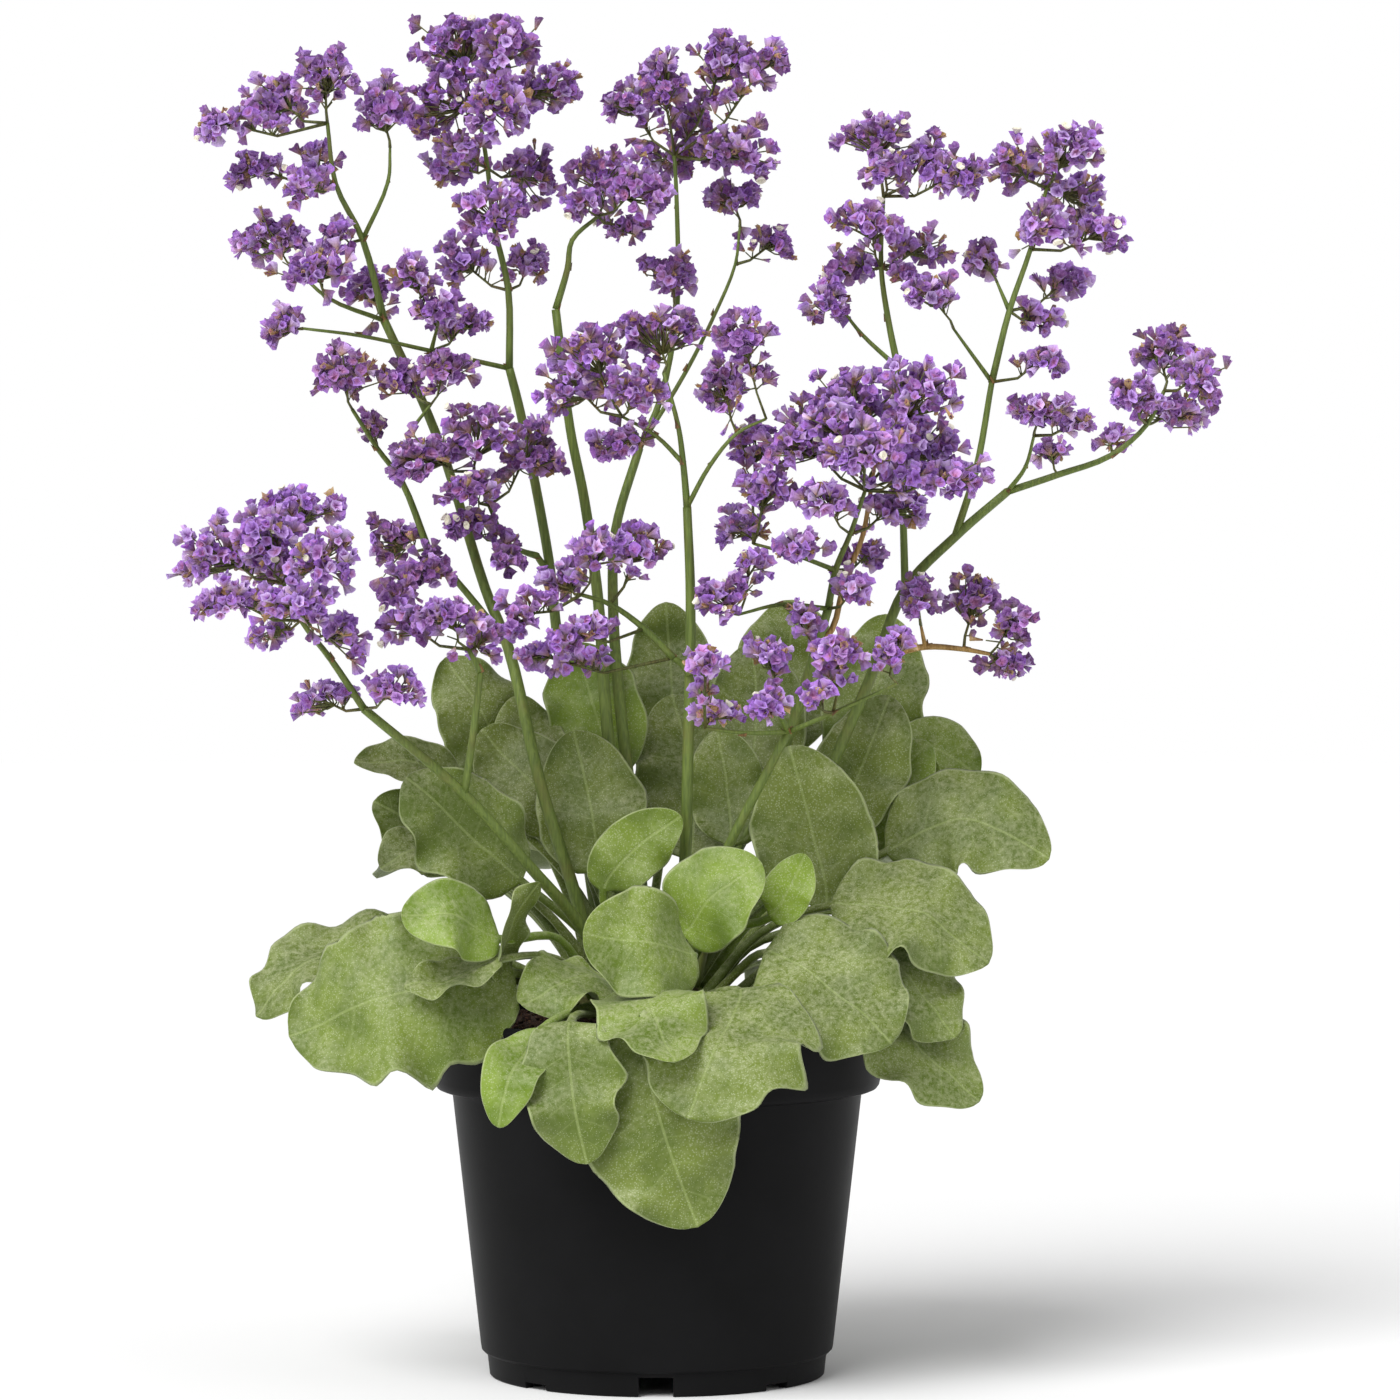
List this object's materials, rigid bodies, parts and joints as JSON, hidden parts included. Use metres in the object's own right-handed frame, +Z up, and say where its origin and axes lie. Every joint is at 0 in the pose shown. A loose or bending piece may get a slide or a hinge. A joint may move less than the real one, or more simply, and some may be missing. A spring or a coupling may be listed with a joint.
{
  "type": "potted statice plant",
  "caption": "Potted statice: a rosette of broad ovate leaves and tall branched stems of papery violet flowers, growing in a round tapered nursery pot with a deep rolled collar.",
  "frame": {"origin": "on the pot's axis, on the plane that the pot stands on", "axes": "+Z up along the pot's axis; -Y towards the viewer of the picture, +X to the viewer's right"},
  "size_m": [0.432, 0.2499, 0.575],
  "materials": {
    "pot": "satin black moulded polypropylene",
    "soil": "dark moist peat",
    "crown": "rough green-brown plant crown",
    "leaf": "matte grey-green leaf with pale specks",
    "stem": "matte green ribbed stem",
    "flowers": "matte papery violet flowers on green-brown twigs"
  },
  "bodies": {
    "root": {"pot": "pot", "potting_soil": "soil", "root_crown": "crown", "leaf_01": "leaf", "leaf_02": "leaf", "leaf_03": "leaf", "leaf_04": "leaf", "leaf_05": "leaf", "leaf_06": "leaf", "leaf_07": "leaf", "leaf_08": "leaf", "leaf_09": "leaf", "leaf_10": "leaf", "leaf_11": "leaf", "leaf_12": "leaf", "leaf_13": "leaf", "leaf_14": "leaf", "leaf_15": "leaf", "leaf_16": "leaf", "leaf_17": "leaf", "leaf_18": "leaf", "leaf_19": "leaf", "leaf_20": "leaf", "leaf_21": "leaf", "leaf_22": "leaf", "leaf_23": "leaf", "leaf_24": "leaf", "leaf_25": "leaf", "leaf_26": "leaf", "leaf_27": "leaf", "leaf_28": "leaf", "leaf_29": "leaf", "leaf_30": "leaf", "leaf_31": "leaf", "leaf_32": "leaf", "flower_stem_01": "stem", "flower_stem_02": "stem", "flower_stem_03": "stem", "flower_stem_04": "stem", "flower_stem_05": "stem", "flower_stem_06": "stem", "flower_stem_07": "stem", "flower_stem_08": "stem", "flower_stem_09": "stem", "panicle_01": "flowers", "panicle_02": "flowers", "panicle_03": "flowers", "panicle_04": "flowers", "panicle_05": "flowers", "panicle_06": "flowers", "panicle_07": "flowers", "panicle_08": "flowers", "panicle_09": "flowers", "panicle_10": "flowers", "panicle_11": "flowers", "panicle_12": "flowers", "panicle_13": "flowers", "panicle_14": "flowers", "panicle_15": "flowers", "panicle_16": "flowers"}
  },
  "joints": []
}
